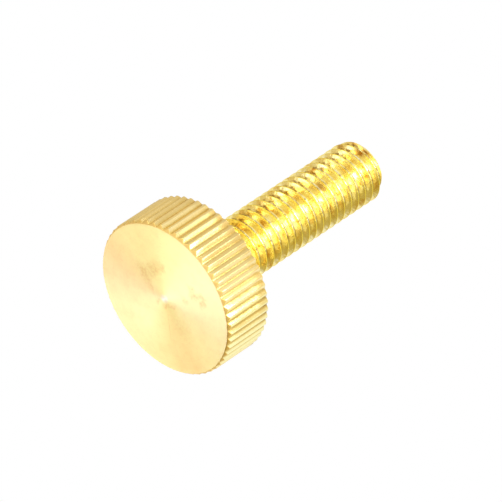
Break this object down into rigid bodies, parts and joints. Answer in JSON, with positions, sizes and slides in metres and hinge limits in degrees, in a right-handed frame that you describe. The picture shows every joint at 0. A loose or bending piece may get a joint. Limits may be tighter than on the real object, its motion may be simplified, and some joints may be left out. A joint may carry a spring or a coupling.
{
  "type": "thumb screw",
  "caption": "Brass thumb screw with a flat, straight-knurled round head and a plainly threaded shank.",
  "frame": {"origin": "centre of the head's flat outer face, the face that the screw stands on", "axes": "+Z along the screw's axis from the head to the tip; +X through the tip of a knurl tooth"},
  "size_m": [0.02, 0.02, 0.0343],
  "materials": {
    "brass": "turned bright, lightly tarnished on the thread"
  },
  "bodies": {
    "root": {"thumb_screw": "brass"}
  },
  "joints": []
}
